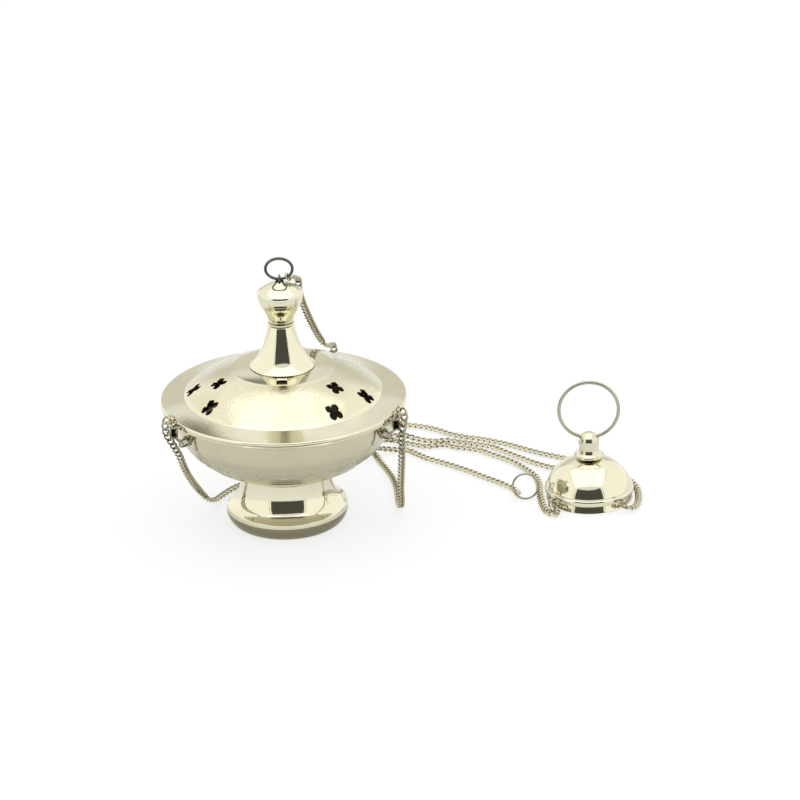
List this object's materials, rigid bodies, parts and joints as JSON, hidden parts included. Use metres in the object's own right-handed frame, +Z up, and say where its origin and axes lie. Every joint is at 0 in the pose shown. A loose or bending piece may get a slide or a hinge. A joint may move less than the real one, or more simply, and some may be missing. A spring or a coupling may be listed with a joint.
{
  "type": "censer",
  "caption": "Footed metal bowl with a pierced, domed and spired lid, side chains to a domed hand cap with a ring, and a lift chain with a pull ring, laid out on a table.",
  "frame": {"origin": "middle of the base of the censer and its hand cap, on the table they stand on", "axes": "+X runs from the censer to the hand cap, +Y to the back where the slack chains lie, +Z up"},
  "size_m": [0.2573, 0.1866, 0.1523],
  "materials": {
    "plated_brass": "nickel-plated and polished",
    "liner_brass": "nickel-plated, dulled by charcoal"
  },
  "bodies": {
    "base": {"foot": "plated_brass", "foot_bolt": "plated_brass", "foot_washer": "plated_brass", "foot_nut": "plated_brass", "bowl": "plated_brass", "bowl_lug_left": "plated_brass", "bowl_lug_right": "plated_brass", "bowl_lug_back": "plated_brass", "bowl_ring_left": "plated_brass", "bowl_ring_right": "plated_brass", "bowl_ring_back": "plated_brass", "chain_left_arch": "plated_brass", "chain_right_arch": "plated_brass", "chain_back_arch": "plated_brass", "chain_left_fall": "plated_brass", "chain_right_fall": "plated_brass", "chain_back_fall": "plated_brass", "chain_left_run": "plated_brass", "chain_right_run": "plated_brass", "chain_back_run": "plated_brass", "lift_chain_fall": "plated_brass", "lift_chain_end": "plated_brass"},
    "liner": {"coal_liner": "liner_brass"},
    "lid": {"lid": "plated_brass", "lid_lug_left": "plated_brass", "lid_lug_right": "plated_brass", "lid_lug_back": "plated_brass", "spire_skirt": "plated_brass", "spire_collar": "plated_brass", "spire_knop": "plated_brass", "eye_bolt": "plated_brass", "lid_washer": "plated_brass", "lid_nut": "plated_brass", "lift_chain_top": "plated_brass"},
    "top_ring": {"top_ring": "plated_brass", "lift_link": "plated_brass"},
    "hand_cap": {"cap_dome": "plated_brass", "cap_neck": "plated_brass", "cap_screw": "plated_brass", "cap_lug_left": "plated_brass", "cap_lug_right": "plated_brass", "cap_lug_back": "plated_brass", "cap_link_left": "plated_brass", "cap_link_right": "plated_brass", "cap_link_back": "plated_brass"},
    "hand_ring": {"hand_ring": "plated_brass"},
    "pull_ring": {"pull_ring": "plated_brass"}
  },
  "joints": [
    {"name": "liner_lift", "type": "slide", "parent": "base", "child": "liner", "axis": [0, 0, 1], "range_m": [0, 0.011]},
    {"name": "lid_lift", "type": "slide", "parent": "base", "child": "lid", "axis": [0, 0, 1], "range_m": [0, 0.06], "deforming": ["chain_left_arch", "chain_right_arch", "chain_back_arch", "chain_left_fall", "chain_right_fall", "chain_back_fall", "lift_chain_fall"]},
    {"name": "top_ring_swing", "type": "hinge", "parent": "lid", "child": "top_ring", "pos_m": [-0.0611, -0.00248, 0.13822], "axis": [1, 0, 0], "range_deg": [-94, 54], "deforming": ["lift_chain_top"]},
    {"name": "cap_lift", "type": "slide", "parent": "base", "child": "hand_cap", "axis": [0, 0, 1], "range_m": [0, 0.06], "deforming": ["chain_left_run", "chain_right_run", "chain_back_run"]},
    {"name": "hand_ring_swing", "type": "hinge", "parent": "hand_cap", "child": "hand_ring", "pos_m": [0.1024, 0.01512, 0.0355], "axis": [1, 0, 0], "range_deg": [-75, 75]},
    {"name": "pull_ring_tilt", "type": "hinge", "parent": "base", "child": "pull_ring", "pos_m": [0.0678, 0.01272, 0.00075], "axis": [1, 0, 0], "range_deg": [-65, 55], "deforming": ["lift_chain_end"]}
  ]
}
